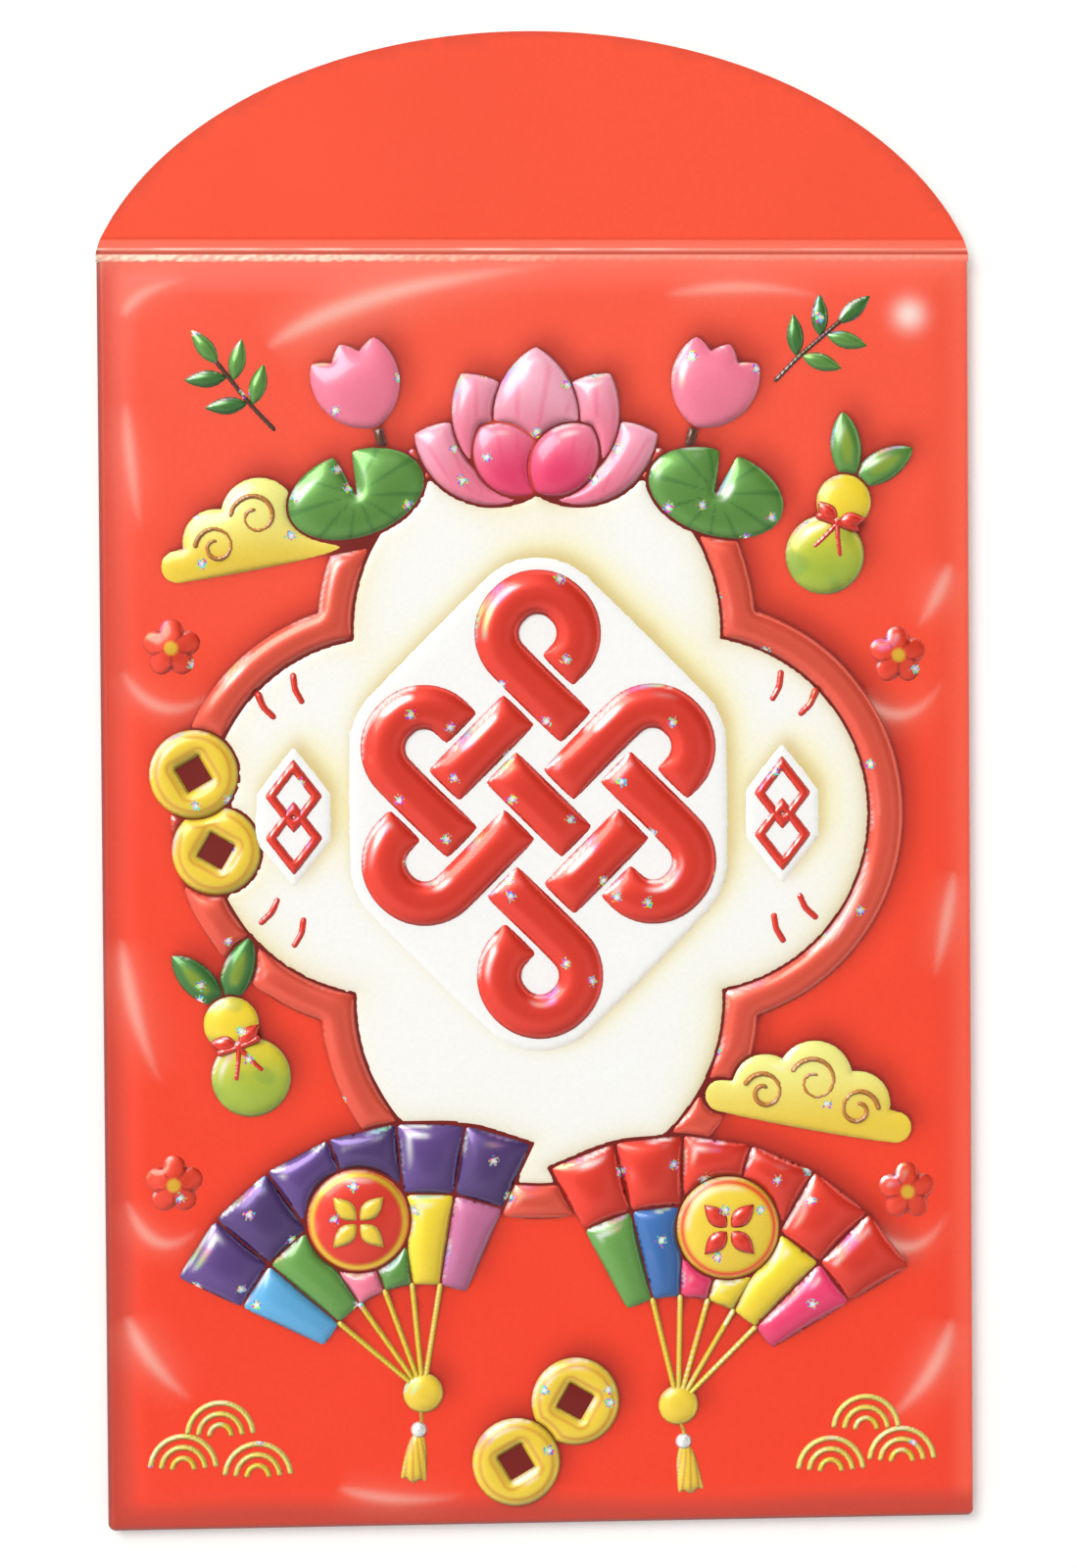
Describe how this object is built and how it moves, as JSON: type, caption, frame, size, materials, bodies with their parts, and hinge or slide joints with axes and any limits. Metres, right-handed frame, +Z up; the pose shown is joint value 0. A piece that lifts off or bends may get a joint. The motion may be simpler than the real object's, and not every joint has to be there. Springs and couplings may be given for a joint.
{
  "type": "red envelope",
  "caption": "Folded paper packet for gift money with a pillowed, embossed front, glued back and a rounded flap that folds over the mouth on a double score.",
  "frame": {"origin": "middle of the face that the packet lies on, under the middle of the open packet, flap included", "axes": "+X across the packet, +Y from its bottom edge towards the open flap, +Z up out of its printed front"},
  "size_m": [0.08, 0.1372, 0.0033],
  "materials": {
    "red_front": "printed and varnished paper, embossed",
    "red_plain": "matt printed paper",
    "white_inside": "bare paper",
    "glue": "dried glue film",
    "print_red": "glossy raised print",
    "print_white": "glossy raised print",
    "print_cream": "glossy raised print",
    "print_purple": "glossy raised print",
    "print_mixed": "glossy raised print in several colours",
    "print_gold": "glossy raised print",
    "print_pink": "glossy raised print",
    "print_green": "glossy raised print",
    "print_yellow_green": "glossy raised print",
    "print_brown": "glossy raised print"
  },
  "bodies": {
    "pouch": {"back_panel": "red_plain", "bottom_flap": "red_plain", "bottom_flap_glue": "glue", "bottom_fold": "red_plain", "cash_coins": "print_gold", "endless_knot": "print_red", "field_border": "print_red", "front_panel": "red_front", "gold_clouds": "print_gold", "gourd_leaves": "print_green", "gourds": "print_yellow_green", "knot_plate": "print_white", "left_fan_band": "print_purple", "left_fan_hub": "print_gold", "left_fan_pleats": "print_mixed", "left_fan_ribs": "print_gold", "left_fan_roundel": "print_red", "left_fold": "red_plain", "lobed_field": "print_cream", "lotus_buds": "print_pink", "lotus_flower": "print_pink", "lotus_pads": "print_green", "lotus_stems": "print_brown", "right_fan_band": "print_red", "right_fan_hub": "print_gold", "right_fan_pleats": "print_mixed", "right_fan_ribs": "print_gold", "right_fan_roundel": "print_gold", "right_fold": "red_plain", "side_seam_glue": "glue", "side_tab": "white_inside"},
    "spine": {"spine_strip": "red_plain"},
    "flap": {"closure_flap": "red_plain"}
  },
  "joints": [
    {"name": "spine_crease", "type": "hinge", "parent": "pouch", "child": "spine", "pos_m": [0, 0.04838, 0.0014], "axis": [-1, 0, 0], "range_deg": [0, 90]},
    {"name": "flap_crease", "type": "hinge", "parent": "spine", "child": "flap", "pos_m": [0, 0.04963, 0.0014], "axis": [-1, 0, 0], "range_deg": [0, 90]}
  ]
}
